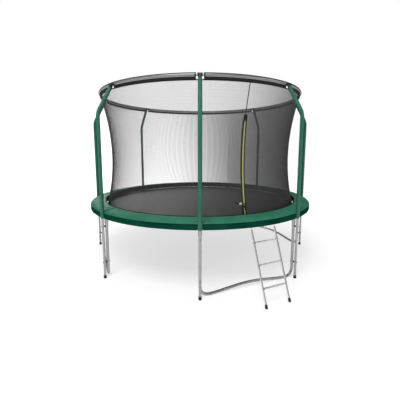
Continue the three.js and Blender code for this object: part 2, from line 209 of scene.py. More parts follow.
def prism(rows, columns, closed=False):
    """Faces through a row of sections, joined into a ring or with a face at each end."""
    if closed:
        return lattice(rows, columns, wrap_rows=True)
    last = (rows - 1) * columns
    return lattice(rows, columns) + [list(range(columns))[::-1], list(range(last, last + columns))]


def slab(rows, columns):
    """The same for flat sections that run out along one side and back along the other."""
    faces = lattice(rows, columns)
    for base, step in ((0, 1), ((rows - 1) * columns, -1)):
        for k in range(columns // 2 - 1):
            quad = [base + k, base + k + 1, base + columns - 2 - k, base + columns - 1 - k]
            faces.append(quad[::step])
    return faces


def frames_along(points, closed, up):
    ahead = np.roll(points, -1, 0) - np.roll(points, 1, 0)
    if not closed:
        ahead[0] = points[1] - points[0]
        ahead[-1] = points[-1] - points[-2]
    ahead /= np.linalg.norm(ahead, axis=1)[:, None]
    if up is not None:
        side = np.cross(np.array(up, float)[None, :], ahead)
        side /= np.linalg.norm(side, axis=1)[:, None]
        return side, np.cross(ahead, side)
    first = np.array((0.0, 0.0, 1.0)) if abs(ahead[0][2]) < 0.8 else np.array((1.0, 0.0, 0.0))
    normal = np.cross(first, ahead[0])
    normal /= np.linalg.norm(normal)
    normals = [normal]
    for step in ahead[1:]:
        normal = normal - step * np.dot(normal, step)
        normal /= np.linalg.norm(normal)
        normals.append(normal)
    normals = np.array(normals)
    return normals, np.cross(ahead, normals)


def tube(points, radius, sides=16, closed=False, up=None):
    """A round tube along points; radius is one number, one for each point, or a grid of them."""
    points = np.array([tuple(p) for p in points], float)
    normals, binormals = frames_along(points, closed, up)
    radius = np.array(radius, float)
    if radius.ndim == 1:
        radius = radius[:, None]
    radius = np.broadcast_to(radius, (len(points), sides))
    angle = np.linspace(0, 2 * pi, sides, endpoint=False)
    verts = (points[:, None, :]
             + (radius * np.cos(angle))[:, :, None] * normals[:, None, :]
             + (radius * np.sin(angle))[:, :, None] * binormals[:, None, :])
    return verts.reshape(-1, 3).tolist(), prism(len(points), sides, closed)


def ribbon(points, sides_at, half_width, thickness):
    """A flat strap along points: sides_at gives each point's sideways and outward directions."""
    verts = []
    for p, (side, out) in zip(points, sides_at):
        p, side, out = Vector(p), Vector(side), Vector(out)
        for a, b in ((-1, 0), (1, 0), (1, 1), (-1, 1)):
            verts.append(p + side * (a * half_width) + out * (b * thickness))
    return verts, prism(len(points), 4)


def turned(profile, origin, axis, sides=24, closed=False):
    """A body turned about an axis: profile is (radius, distance along the axis)."""
    axis = Vector(axis).normalized()
    first = UP if abs(axis.z) < 0.8 else Vector((1, 0, 0))
    normal = first.cross(axis).normalized()
    binormal = axis.cross(normal)
    origin = Vector(origin)
    verts = []
    for r, s in profile:
        for j in range(sides):
            a = 2 * pi * j / sides
            verts.append(origin + axis * s + normal * (r * cos(a)) + binormal * (r * sin(a)))
    return verts, prism(len(profile), sides, closed)


def placed(at, *axes):
    """The matrix that takes a part to a point, with its X, Y and Z along these axes."""
    return Matrix.Translation(at) @ Matrix(axes).transposed().to_4x4()


def plate(outline, depth, place, bevel=0.0):
    """A flat outline, in its own X and Y, given a depth along its Z and softened edges."""
    bm = bmesh.new()
    face = bm.faces.new([bm.verts.new((x, y, 0)) for x, y in outline])
    top = bmesh.ops.extrude_face_region(bm, geom=[face])["geom"]
    bmesh.ops.translate(bm, verts=[g for g in top if isinstance(g, bmesh.types.BMVert)], vec=(0, 0, depth))
    bmesh.ops.recalc_face_normals(bm, faces=bm.faces)
    if bevel:
        edges = [e for e in bm.edges if e.calc_face_angle(0) > 0.6]
        bmesh.ops.bevel(bm, geom=edges, offset=bevel, segments=2, affect="EDGES", profile=0.5)
    bm.verts.ensure_lookup_table()
    verts = [place @ v.co for v in bm.verts]
    faces = [[v.index for v in f.verts] for f in bm.faces]
    bm.free()
    return verts, faces


def eased(start, corner, end, steps):
    """A smooth curve from start to end, drawn towards the corner."""
    return [start * (1 - t) ** 2 + corner * (2 * t * (1 - t)) + end * t ** 2
            for t in (k / steps for k in range(steps + 1))]


def rounded(corners, bend, steps=12):
    """The corner points replaced by smooth bends."""
    route = [corners[0]]
    for i in range(1, len(corners) - 1):
        corner = corners[i]
        back = (corners[i - 1] - corner).normalized()
        ahead = (corners[i + 1] - corner).normalized()
        setback = bend / tan(back.angle(ahead) / 2)
        route += eased(corner + back * setback, corner, corner + ahead * setback, steps)
    route.append(corners[-1])
    return route


def even(route, spacing):
    """The same route with points at an even spacing."""
    points = np.array([tuple(p) for p in route])
    lengths = np.concatenate(([0], np.cumsum(np.linalg.norm(np.diff(points, axis=0), axis=1))))
    count = max(2, int(round(lengths[-1] / spacing)) + 1)
    at = np.linspace(0, lengths[-1], count)
    return np.stack([np.interp(at, lengths, points[:, k]) for k in range(3)], 1)


def ring(radius, z, start, end, step):
    count = max(2, int(round(abs(end - start) / step)) + 1)
    return [polar(radius, a, z) for a in np.linspace(start, end, count)]


# --- finishes
class Nodes:
    """A cleared node tree and short ways to add to it."""

    def __init__(self, tree):
        self.tree = tree
        tree.nodes.clear()

    def node(self, kind, **settings):
        node = self.tree.nodes.new(kind)
        for key, value in settings.items():
            setattr(node, key, value)
        return node

    def link(self, source, target):
        self.tree.links.new(source, target)

    def math(self, operation, a, b=0.0, c=0.0):
        node = self.node("ShaderNodeMath", operation=operation)
        for socket, value in zip(node.inputs, (a, b, c)):
            if isinstance(value, (int, float)):
                socket.default_value = value
            else:
                self.link(value, socket)
        return node.outputs[0]

    def split(self, vector):
        node = self.node("ShaderNodeSeparateXYZ")
        self.link(vector, node.inputs[0])
        return [node.outputs[axis] for axis in "XYZ"]

    def map_range(self, value, *limits):
        node = self.node("ShaderNodeMapRange", interpolation_type="SMOOTHSTEP")
        for socket, limit in zip(("From Min", "From Max", "To Min", "To Max"), limits):
            node.inputs[socket].default_value = limit
        self.link(value, node.inputs["Value"])
        return node.outputs["Result"]

    def multiply(self, a, b, amount=1.0):
        node = self.node("ShaderNodeMix", data_type="RGBA", blend_type="MULTIPLY")
        node.inputs["Factor"].default_value = amount
        self.link(a, node.inputs["A"])
        self.link(b, node.inputs["B"])
        return node.outputs["Result"]

    def ramp(self, factor, first, *others):
        node = self.node("ShaderNodeValToRGB")
        elements = node.color_ramp.elements
        elements.remove(elements[1])
        elements[0].position, elements[0].color = first[0], (*first[1], 1)
        for position, colour in others:
            elements.new(position).color = (*colour, 1)
        self.link(factor, node.inputs["Fac"])
        return node.outputs["Color"]

    def grey(self, factor, low, high, start=0.3, end=0.7):
        return self.ramp(factor, (start, (low,) * 3), (end, (high,) * 3))


class Finish(Nodes):
    """A material: one principled shader, and patterns placed by the object's own coordinates."""

    def __init__(self, name, **constants):
        self.material = bpy.data.materials.new(name)
        self.material.use_nodes = True
        super().__init__(self.material.node_tree)
        output = self.node("ShaderNodeOutputMaterial")
        self.shader = self.node("ShaderNodeBsdfPrincipled")
        self.link(self.shader.outputs["BSDF"], output.inputs["Surface"])
        for socket, value in constants.items():
            self.shader.inputs[socket.replace("_", " ")].default_value = value
        self.place = self.node("ShaderNodeTexCoord").outputs["Object"]

    def noise(self, scale, detail=3.0, stretch=None):
        source = self.place
        if stretch:
            mapping = self.node("ShaderNodeMapping")
            mapping.inputs["Scale"].default_value = stretch
            self.link(source, mapping.inputs["Vector"])
            source = mapping.outputs[0]
        node = self.node("ShaderNodeTexNoise")
        node.inputs["Scale"].default_value = scale
        node.inputs["Detail"].default_value = detail
        self.link(source, node.inputs["Vector"])
        return node.outputs["Fac"]

    def cells(self, scale):
        node = self.node("ShaderNodeTexVoronoi")
        node.inputs["Scale"].default_value = scale
        self.link(self.place, node.inputs["Vector"])
        return node.outputs["Color"]

    def bump(self, height, strength, distance, after=None):
        node = self.node("ShaderNodeBump")
        node.inputs["Strength"].default_value = strength
        node.inputs["Distance"].default_value = distance
        self.link(height, node.inputs["Height"])
        if after:
            self.link(after, node.inputs["Normal"])
        return node.outputs["Normal"]

    def around(self):
        """Azimuth about the trampoline's middle, in radians, and height."""
        x, y, z = self.split(self.place)
        y = self.math("SUBTRACT", y, HUB.y)
        x = self.math("SUBTRACT", x, HUB.x)
        return self.math("ARCTAN2", y, x), z

    def set(self, **links):
        for socket, source in links.items():
            self.link(source, self.shader.inputs[socket.replace("_", " ")])
        return self


def steel(name, low, high, rough_low, rough_high, metallic=0.85):
    """Zinc-coated steel: fine spangles under a broad, faint cloud."""
    f = Finish(name, Metallic=metallic)
    spangle = f.grey(f.cells(140), low, high, 0.1, 0.9)
    tone = f.multiply(spangle, f.grey(f.noise(9, 4), 0.72, 1.0), 0.45)
    f.set(Base_Color=tone, Roughness=f.grey(f.noise(60), rough_low, rough_high))
    return f.set(Normal=f.bump(f.noise(420, 2), 0.10, 0.0006)).material


def vinyl(name, dark, light, rough, grain, crease, stretch=(1, 1, 1), gloss=0.25):
    """Coated cloth: broad shifts of colour, soft creases and a fine grain."""
    f = Finish(name, Specular_IOR_Level=gloss)
    broad = f.noise(5, 4, stretch)
    f.set(Base_Color=f.ramp(broad, (0.28, dark), (0.72, light)))
    f.set(Roughness=f.grey(f.noise(30, 3), *rough))
    creases = f.bump(f.noise(26, 3, stretch), crease, 0.004)
    return f.set(Normal=f.bump(f.noise(1100, 2), grain, 0.0004, creases)).material


def plastic(name, low, high, rough=(0.30, 0.46)):
    f = Finish(name)
    f.set(Base_Color=f.grey(f.noise(40, 3), low, high))
    f.set(Roughness=f.grey(f.noise(90, 2), *rough))
    return f.set(Normal=f.bump(f.noise(700, 2), 0.12, 0.0005)).material


def webbing(name, low, high, ribs=2600.0):
    """Woven tape: fine ribs across it and a little fuzz."""
    f = Finish(name, Specular_IOR_Level=0.2)
    angle, z = f.around()
    arc = f.math("MULTIPLY", angle, 1.6)
    rib = f.math("MULTIPLY", f.math("SINE", f.math("MULTIPLY", arc, ribs)),
                 f.math("SINE", f.math("MULTIPLY", z, ribs)))
    f.set(Base_Color=f.grey(f.noise(70, 4), low, high))
    f.set(Roughness=f.grey(f.noise(50), 0.62, 0.85))
    return f.set(Normal=f.bump(rib, 0.5, 0.0006)).material


STEEL = steel("galvanised_steel", 0.32, 0.46, 0.24, 0.36)
LADDER_STEEL = steel("ladder_steel", 0.74, 0.82, 0.22, 0.30)
HOOP_STEEL = steel("hoop_steel", 0.60, 0.74, 0.28, 0.40)
WIRE = steel("spring_wire", 0.50, 0.78, 0.20, 0.34, 0.95)
BOLT = steel("zinc_bolt", 0.34, 0.52, 0.28, 0.42, 0.9)
SLEEVE = vinyl("sleeve_vinyl", (0.018, 0.118, 0.074), (0.034, 0.170, 0.108), (0.36, 0.48),
               grain=0.14, crease=0.5, stretch=(5, 5, 0.8))
PAD = vinyl("pad_vinyl", (0.026, 0.182, 0.106), (0.048, 0.238, 0.148), (0.44, 0.58),
            grain=0.16, crease=0.30, gloss=0.12)
# Painted shade: the skirt is the pad's vinyl, made much darker because its hanging side lies in shade.
SHADED_SKIRT_VINYL = vinyl("skirt_vinyl_painted_shade", (0.002, 0.040, 0.024), (0.006, 0.064, 0.040), (0.55, 0.70),
              grain=0.16, crease=0.4, stretch=(1, 1, 3), gloss=0.0)
CAP = plastic("black_plastic", 0.006, 0.013)
RUBBER = plastic("black_rubber", 0.005, 0.010, (0.58, 0.78))
PALE_PLASTIC = plastic("pale_plastic", 0.55, 0.72, (0.28, 0.40))
WEB = webbing("black_webbing", 0.009, 0.020)
TAPE = webbing("zip_tape", 0.006, 0.014, 3400.0)
THREAD = webbing("grey_thread", 0.10, 0.17)


def zip_yellow():
    f = Finish("zip_teeth_yellow", Specular_IOR_Level=0.5)
    f.set(Base_Color=f.ramp(f.noise(120, 2), (0.3, (0.50, 0.46, 0.10)), (0.7, (0.72, 0.68, 0.24))))
    return f.set(Roughness=f.grey(f.noise(60), 0.30, 0.46)).material


def mat_cloth():
    """Woven polypropylene: a fine flat weave with a slight sheen."""
    f = Finish("mat_cloth", Sheen_Weight=0.10, Sheen_Roughness=0.45)
    x, y, z = f.split(f.place)
    pick = 2 * pi / 0.0042
    warp = f.math("SINE", f.math("MULTIPLY", x, pick))
    weft = f.math("SINE", f.math("MULTIPLY", y, pick))
    weave = f.math("MULTIPLY", warp, weft)
    wear = f.noise(3.5, 5)
    f.set(Base_Color=f.ramp(wear, (0.30, (0.010, 0.010, 0.011)), (0.72, (0.016, 0.016, 0.016))))
    f.set(Roughness=f.grey(f.noise(14, 4), 0.36, 0.46))
    return f.set(Normal=f.bump(weave, 0.35, 0.0008, f.bump(f.noise(2.2, 3), 0.25, 0.02))).material


def net_mesh(name, cover, tone, more=0.0, band=0.0):
    """Fine knitted mesh, as much of the surface as its threads cover. Towards the right side it carries
    painted shade: a darker colour and, by the amount more, a thicker cover.
    """
    f = Finish(name, Specular_IOR_Level=0.2)
    angle, z = f.around()
    # close runs from 0 on the left to 1 on the right side: painted shade, which thickens the mesh's cover and
    # darkens its colour there
    close = f.map_range(f.math("COSINE", f.math("SUBTRACT", angle, radians(10))), -0.30, 1.0)
    rows = f.math("SINE", f.math("MULTIPLY", z, 2 * pi / 0.036))
    uneven = f.math("SUBTRACT", f.noise(26, 2, (0.6, 0.6, 5)), 0.5)
    cover_at = f.math("MULTIPLY_ADD", close, more, cover)
    cover_at = f.math("MULTIPLY_ADD", rows, band, cover_at)
    cover_at = f.math("MULTIPLY_ADD", uneven, band * 3, cover_at)
    alpha = f.math("MINIMUM", f.math("MAXIMUM", cover_at, 0.04), 1.0)
    # Painted shade: the colour falls to a quarter of its tone towards the right side.
    f.set(Alpha=alpha, Base_Color=f.ramp(close, (0.0, (tone,) * 3), (1.0, (tone * 0.25,) * 3)))
    return f.set(Roughness=f.grey(f.noise(50), 0.55, 0.8)).material


def net_cord():
    f = Finish("net_cord")
    f.set(Base_Color=f.grey(f.noise(40, 3), 0.035, 0.060))
    return f.set(Roughness=f.grey(f.noise(50), 0.5, 0.75)).material


ZIP_YELLOW = zip_yellow()
MAT_CLOTH = mat_cloth()
# more=0.62 thickens the net wall towards the right as painted shade; the sleeve mesh gets only the darker
# colour there
NET = net_mesh("net_mesh", 0.145, 0.13, more=0.62, band=0.010)
NET_SLEEVE = net_mesh("net_sleeve_mesh", 0.36, 0.10)
NET_CORD = net_cord()


# --- poles, sleeves, caps, shoes
def pole_axis(azimuth, z):
    return polar(POLE_FOOT - POLE_LEAN * z, azimuth, z)


def leg_axis(azimuth, z):
    return polar(POLE_FOOT - LEG_GAP - POLE_LEAN * z, azimuth, z)


def pole_top(azimuth):
    bend = pole_axis(azimuth, POLE_BEND)
    hoop = polar(HOOP_R, azimuth, HOOP_Z)
    return bend, hoop, (hoop - bend).normalized()


def pole_route(azimuth, start_z, short_of_hoop):
    bend, hoop, up = pole_top(azimuth)
    return rounded([pole_axis(azimuth, start_z), bend, hoop - up * short_of_hoop], BEND_SETBACK_RADIUS)


def foam_sleeve(azimuth, index):
    """Foam tube in a vinyl cover: soft creases, tighter at the bend, and a lapped seam along one side."""
    spacing, sides = 0.008, 28
    route = even(pole_route(azimuth, SKIRT_LOW.z, CAP_CUP + 0.001), spacing)
    count = len(route)
    radii = np.zeros((count, sides))
    for i in range(count):
        from_end = min(i, count - 1 - i) * spacing
        body = SLEEVE_R - 0.0035 * (1 - smooth(0, 0.010, from_end))
        bend = exp(-((route[i][2] - POLE_BEND) / 0.05) ** 2)
        for j in range(sides):
            a = 2 * pi * j / sides
            soft = noise.noise((3 * cos(a) + 9 * index, 3 * sin(a), route[i][2] * 9))
            fold = noise.noise((1.5 * cos(a), 1.5 * sin(a) + 7 * index, route[i][2] * 42))
            radii[i, j] = body + 0.0007 * soft - bend * 0.0016 * max(0.0, fold + 0.25)
    seam = [Vector(p) + sideways(azimuth) * (SLEEVE_R - 0.001) for p in route[2:-2:2]]
    shell = Shell().add(tube(route, radii, sides)).add(tube(seam, 0.0014, 6))
    obj = shell.piece(f"foam_sleeve_{index}", [SLEEVE], "sleeve_vinyl", crease=60,
                      stands_for=f"pole_sleeve_{index}")


def net_pole(azimuth, index):
    """The bent tube, from inside its shoe to inside its cap."""
    body = tube(even(pole_route(azimuth, 0.006, 0.021), 0.02), POLE_TUBE, 20)
    Shell().add(body).piece(f"steel_pole_{index}", [STEEL], "galvanised_tube", stands_for=f"net_pole_{index}")


def pole_cap(azimuth, index):
    """Moulded cap: a cup on the pole's end, a hub round the hoop with a lip at each end, ribs and a screw."""
    bend, hoop, up = pole_top(azimuth)
    along = sideways(azimuth)
    half_hub = [(HOOP_TUBE + 0.0012, CAP_HALF), (CAP_R - 0.001, CAP_HALF), (CAP_R, CAP_HALF - 0.001),
                (CAP_R, CAP_HALF - 0.006), (CAP_R - 0.002, CAP_HALF - 0.0075)]
    hub = [(r, -s) for r, s in half_hub] + half_hub[::-1]
    shell = Shell().add(turned(hub, hoop, along, 28, closed=True))
    cup = [(CAP_R - 0.006, -0.010), (CAP_R - 0.001, -0.014), (CAP_R - 0.001, -CAP_CUP + 0.008),
           (CAP_R + 0.0005, -CAP_CUP + 0.006), (CAP_R + 0.0005, -CAP_CUP + 0.001), (CAP_R - 0.001, -CAP_CUP),
           (POLE_TUBE + 0.0008, -CAP_CUP)]
    shell.add(turned(cup[::-1], hoop, up, 28))
    away = outward(azimuth)
    out = (away - up * away.dot(up)).normalized()
    rib = [(-0.0015, -0.014), (0.0015, -0.014), (0.0015, 0.012), (-0.0015, 0.012)]
    for sign in (-1, 1):
        place = placed(hoop - up * 0.032 + along * (sign * 0.0145), along, up, along.cross(up))
        shell.add(plate(rib, 0.0205, place))
    head = hoop - up * 0.034 + out * (CAP_R - 0.0015)
    shell.add(turned([(0.0052, 0), (0.0052, 0.0016), (0.0040, 0.0030), (0.0012, 0.0034)], head, out, 14), 1)
    shell.piece(f"hoop_cap_{index}", [CAP, BOLT], "black_plastic", stands_for=f"pole_cap_{index}")


def pole_shoe(azimuth, index):
    """Moulded rubber shoe: a rounded sole, a lip at the top and a bore for the pole."""
    foot = pole_axis(azimuth, 0)
    profile = [(0.0188, 0), (0.0205, 0.0015), (0.0210, 0.0040), (0.0210, 0.0085), (0.0200, 0.0100),
               (0.0200, 0.0360), (0.0207, 0.0372), (0.0207, 0.0405), (0.0195, 0.0420), (0.0175, 0.0420),
               (0.0170, 0.0400), (0.0170, 0.0070), (0.0010, 0.0065)]
    shell = Shell().add(turned(profile, foot, UP, 28))
    shell.piece(f"rubber_shoe_{index}", [RUBBER], "black_rubber", stands_for=f"pole_shoe_{index}")


def pole_clamps(azimuth, index):
    """Two bolts hold each pole to its leg, each through a plastic spacer and a curved washer."""
    away = outward(azimuth)
    gap = LEG_GAP - POLE_TUBE - LEG_TUBE
    spacer = [(0.0095, 0), (0.0125, 0.001), (0.0125, gap + 0.005), (0.0095, gap + 0.006)]
    washer = [(0.0100, 0), (0.0100, 0.0020), (0.0070, 0.0030), (0.0070, 0.0050)]
    dome = [(0.0082, 0.0035), (0.0082, 0.0050), (0.0070, 0.0070), (0.0040, 0.0085), (0.0010, 0.0089)]
    flat_washer = [(0.0100, 0), (0.0100, 0.0016)]
    nut = [(0.0072, 0.0016), (0.0072, 0.0066)]
    bolt_end = [(0.0055, 0.0066), (0.0050, 0.0092), (0.0030, 0.0112), (0.0010, 0.0118)]
    shell = Shell()
    for z in CLAMP_HEIGHTS:
        pole = pole_axis(azimuth, z)
        leg = pole - away * LEG_GAP
        head, tail = pole + away * (POLE_TUBE - 0.001), leg - away * (LEG_TUBE - 0.001)
        shell.add(turned(spacer, leg + away * (LEG_TUBE - 0.003), away, 20))
        shell.add(turned(washer, head, away, 20))
        shell.add(turned(dome, head, away, 16), 1)
        for profile, sides in ((flat_washer, 20), (nut, 6), (bolt_end, 14)):
            shell.add(turned(profile, tail, -away, sides), 1)
    shell.piece(f"pole_bolts_{index}", [CAP, BOLT], "black_plastic")


for number, azimuth in enumerate(POLE_AZIMUTHS, 1):
    net_pole(azimuth, number)
    foam_sleeve(azimuth, number)
    pole_cap(azimuth, number)
    pole_shoe(azimuth, number)
    pole_clamps(azimuth, number)


# --- frame rail and legs
def frame_rail(azimuth, index):
    """One bent section, swaged at one end, with a welded socket and its weld bead."""
    far = azimuth + BAY / 2
    arc = ring(RAIL_R, RAIL_Z, azimuth - BAY / 2 + 0.02, far - 0.02, 1.2)
    joint = ring(RAIL_R, RAIL_Z, far - 0.9, far - 0.1, 0.4)
    shell = Shell().add(tube(arc, RAIL_TUBE, 20, up=UP)).add(tube(joint, RAIL_TUBE + 0.0016, 20, up=UP))
    low, high = leg_axis(azimuth, SOCKET_LOW), polar(RAIL_R, azimuth, RAIL_Z)
    up, depth = (high - low).normalized(), (high - low).length
    wall = 0.0035
    socket = [(SOCKET_R - wall, 0), (SOCKET_R - 0.0006, 0), (SOCKET_R, 0.0006), (SOCKET_R, depth - 0.004),
              (SOCKET_R - wall, depth - 0.004)]
    shell.add(turned(socket, low, up, 24, closed=True))
    bead, wobble, beads = [], [], 48
    for k in range(beads):
        a = 2 * pi * k / beads
        across = sideways(azimuth) * (SOCKET_R * cos(a)) + outward(azimuth) * (SOCKET_R * sin(a))
        drop = sqrt(max(0.0, RAIL_TUBE ** 2 - min(RAIL_TUBE, abs(SOCKET_R * sin(a))) ** 2))
        bead.append(high + across - up * (drop + 0.001))
        wobble.append(0.0024 + 0.0005 * sin(12 * a))
    shell.add(tube(bead, wobble, 8, closed=True))
    screw = [(0.005, 0), (0.005, 0.003), (0.003, 0.0042), (0.001, 0.0045)]
    shell.add(turned(screw, polar(RAIL_R + RAIL_TUBE - 0.001, far - 0.5, RAIL_Z), outward(far), 12), 1)
    shell.piece(f"rail_section_{index}", [STEEL, BOLT], "galvanised_tube", stands_for=f"frame_rail_{index}")


def w_leg(azimuth_a, azimuth_b, index):
    """Two uprights and a base that rises in the middle, with a swaged joint each side of the rise."""
    steps, arch_steps = 12, 28
    ends = ((azimuth_a, LEG_TOP), (azimuth_a, LEG_TUBE), (azimuth_b, LEG_TUBE), (azimuth_b, LEG_TOP))
    route = rounded([leg_axis(azimuth, z) for azimuth, z in ends], LEG_BEND, steps)
    first, second = route[:steps + 2], route[steps + 2:]
    base = second[0] - first[-1]

    def on_base(t):
        return first[-1].lerp(second[0], t) + UP * (LEG_ARCH * sin(pi * t) ** 1.5)

    arch = [on_base(k / arch_steps) for k in range(1, arch_steps)]
    shell = Shell().add(tube(even(first + arch + second, 0.018), LEG_TUBE, 20))
    swage = [(LEG_TUBE, 0), (LEG_TUBE + 0.0014, 0.002), (LEG_TUBE + 0.0014, 0.030), (LEG_TUBE, 0.032)]
    for t in (0.18, 0.82):
        ahead = base.normalized()
        ahead.z = LEG_ARCH * 1.5 * sin(pi * t) ** 0.5 * cos(pi * t) * pi / base.length
        shell.add(turned(swage, on_base(t), ahead, 24))
    shell.piece(f"bent_leg_{index}", [STEEL], "galvanised_tube", stands_for=f"w_leg_{index}")


for number, azimuth in enumerate(POLE_AZIMUTHS, 1):
    frame_rail(azimuth, number)
for number in range(POLES // 2):
    w_leg(POLE_AZIMUTHS[2 * number], POLE_AZIMUTHS[2 * number + 1], number + 1)

for half in (0, 1):
    start = POLE_AZIMUTHS[0] + 180 * half
    hoop = tube(ring(HOOP_R, HOOP_Z, start + 0.02, start + 179.98, 1.5), HOOP_TUBE, 18, up=UP)
    Shell().add(hoop).piece(f"hoop_half_{half + 1}", [HOOP_STEEL], "hoop_tube",
                            stands_for=f"hoop_tube_{half + 1}")


# --- jumping mat, its webbing, rings and springs
def jumping_mat():
    """One round sheet with a folded, stitched webbing hem."""
    middle, edge = 0.02, 0.0015
    inner = MAT_R - HEM_WIDTH
    sheet = np.linspace(0.15, inner - 0.006, 14)
    hem = [(inner, MAT_TOP), (inner + edge, MAT_HIGH.z), (MAT_R - edge, MAT_HIGH.z),
           (MAT_R, MAT_HIGH.z - edge), (MAT_R, MAT_LOW.z + edge), (MAT_R - edge, MAT_LOW.z),
           (inner + edge, MAT_LOW.z), (inner, MAT_TOP - MAT_THICK)]
    profile = [(middle, MAT_TOP)] + [(r, MAT_TOP) for r in sheet] + hem
    profile += [(r, MAT_TOP - MAT_THICK) for r in sheet[::-1]] + [(middle, MAT_TOP - MAT_THICK)]
    shell = Shell().add(turned(profile[::-1], HUB, UP, ROUND_STEPS))
    first_hem_row = len(sheet) + 1
    for i in range(first_hem_row, first_hem_row + len(hem)):
        row = (len(profile) - 2 - i) * ROUND_STEPS
        shell.slots[row:row + ROUND_STEPS] = [1] * ROUND_STEPS
    return shell.piece("mat_cloth", [MAT_CLOTH, WEB], "mat_cloth", "mat", stands_for="jumping_mat")


def mat_stitching():
    """Rows of lockstitch on top of the hem."""
    count, length = 480, 0.30
    shell = Shell()
    for radius in (MAT_R - 0.006, MAT_R - 0.022, MAT_R - 0.038):
        for k in range(count):
            a = 360 * k / count
            points = [polar(radius, a + length * t, MAT_HIGH.z + rise)
                      for t, rise in ((0, 0), (0.5, 0.0010), (1, 0))]
            shell.add(tube(points, [0.0005, 0.0010, 0.0005], 4, up=UP))
    return shell.piece("mat_stitching", [THREAD], "mat_cloth", "mat")


def mat_rings():
    """A webbing loop and a steel V-ring for each spring."""
    ring_inner, ring_outer, ring_half = MAT_R - 0.004, MAT_R + 0.0235, 0.017
    loop = [(-0.030, -0.0005), (-0.006, 0.0008), (0.0015, 0.0022), (0.0035, -0.0010), (0.0015, -0.0085),
            (-0.006, -0.0095)]
    shell = Shell()
    for k in range(SPRINGS):
        azimuth = SPRING_PHASE + 360 * k / SPRINGS
        side = sideways(azimuth)
        base, tip = (polar(r, azimuth, SPRING_Z - 0.001) for r in (ring_inner, ring_outer))
        corners = [base - side * ring_half, base + side * ring_half, tip]
        path = []
        for i in range(3):
            before, corner, after = corners[i - 1], corners[i], corners[(i + 1) % 3]
            path += eased(corner.lerp(before, 0.22), corner, corner.lerp(after, 0.22), 2)
        shell.add(tube(path, 0.0019, 6, closed=True, up=UP))
        points = [polar(MAT_R + r, azimuth, MAT_HIGH.z + z + 0.0002) for r, z in loop]
        faces_out = []
        for i in range(len(points)):
            ahead = (points[min(i + 1, len(points) - 1)] - points[max(i - 1, 0)]).normalized()
            faces_out.append((side, side.cross(ahead)))
        shell.add(ribbon(points, faces_out, 0.013, 0.0014), 1)
    shell.piece("mat_v_rings", [WIRE, WEB], "spring_wire", "mat")


def coil_spring(azimuth):
    """A close-wound coil with a long hook at each end."""
    side, rail_inner = sideways(azimuth), RAIL_R - RAIL_TUBE
    start, end, coil = MAT_R + 0.034, rail_inner - 0.016, 0.0056
    turns, per_turn = 34, 8
    steps = turns * per_turn
    mat_hook = [(MAT_R + 0.0185, -0.0045), (MAT_R + 0.0205, -0.0060), (MAT_R + 0.0245, -0.0040),
                (MAT_R + 0.029, 0)]
    rail_hook = [(end + 0.006, 0.002), (end + 0.013, 0.0045), (rail_inner - 0.002, 0.012),
                 (rail_inner + 0.004, RAIL_Z + 0.0185 - SPRING_Z)]
    path = [polar(r, azimuth, SPRING_Z + z) for r, z in mat_hook]
    for k in range(steps + 1):
        a = 2 * pi * k / per_turn
        centre = polar(start + (end - start) * k / steps, azimuth, SPRING_Z)
        path.append(centre + side * (coil * sin(a)) + UP * (coil * cos(a)))
    path += [polar(r, azimuth, SPRING_Z + z) for r, z in rail_hook]
    return tube(path, 0.0013, 5)


jumping_mat_obj = jumping_mat()
stitching = mat_stitching()
mat_rings()
PER_GROUP = 3
for group in range(SPRINGS // PER_GROUP):
    shell = Shell()
    for k in range(PER_GROUP):
        shell.add(coil_spring(SPRING_PHASE + 360 * (group * PER_GROUP + k) / SPRINGS))
    obj = shell.piece(f"coil_springs_{group + 1}", [WIRE], "spring_wire", None)
    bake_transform(obj)
    if group == 0:
        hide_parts("springs")


# --- spring pad
def pad_limits(radius):
    """Underside and top of the pad at a distance from the middle."""
    shoulder = RAIL_R - RAIL_TUBE
    t = min(1.0, (radius - PAD_INNER) / (shoulder - PAD_INNER))
    low = (PAD_HIGH.z - PAD_THICK) + (PAD_LOW.z - (PAD_HIGH.z - PAD_THICK)) * t
    high = PAD_HIGH.z + (PAD_LOW.z + PAD_THICK + 0.002 - PAD_HIGH.z) * t
    return low, high


def pad_bay_mesh():
    """One foam bay of the pad, at azimuth 0: a crowned form, notched round its two poles."""
    half = radians(BAY / 2) - 0.0007
    pole_r = POLE_FOOT - POLE_LEAN * 0.925
    notch = SLEEVE_R + 0.0018
    near = [0.0, 0.006, 0.012, 0.018, 0.0225, 0.0257, 0.030, 0.045, 0.062]
    angles = [-half + d / pole_r for d in near]
    angles += list(np.linspace(angles[-1], -angles[-1], 64))[1:-1]
    angles += [half - d / pole_r for d in near[::-1]]
    across = np.linspace(0, 1, 15)
    verts = []

    def point(angle, t, outer, height):
        """A point at share t of the way out, its height worked out from the pad's limits there."""
        radius = PAD_INNER + 0.001 + (outer - PAD_INNER - 0.001) * t
        verts.append((radius * cos(angle), radius * sin(angle), height(*pad_limits(radius))))

    def edge(t, width):
        return smooth(0.0, width, t) * smooth(0.0, width, 1 - t)

    for angle in angles:
        d = (half - abs(angle)) * pole_r
        outer = PAD_OUTER - 0.0012
        if d < notch:
            outer = min(outer, pole_r - sqrt(notch ** 2 - d ** 2))
        crown = 0.42 + 0.58 * smooth(0.0, 0.040, d)
        for t in across:
            fullness = crown * (0.60 + 0.40 * edge(t, 0.10))
            point(angle, t, outer, lambda low, high: low + (high - low - 0.001) * fullness)
        for t in across[::-1]:
            lift = 0.004 * (1 - edge(t, 0.06)) + 0.0005
            point(angle, t, outer, lambda low, high: low + lift)
    columns = 2 * len(across)
    mesh = bpy.data.meshes.new("pad_bay")
    mesh.from_pydata(verts, [], slab(len(angles), columns))
    mesh.update()
    return mesh, columns, len(across)


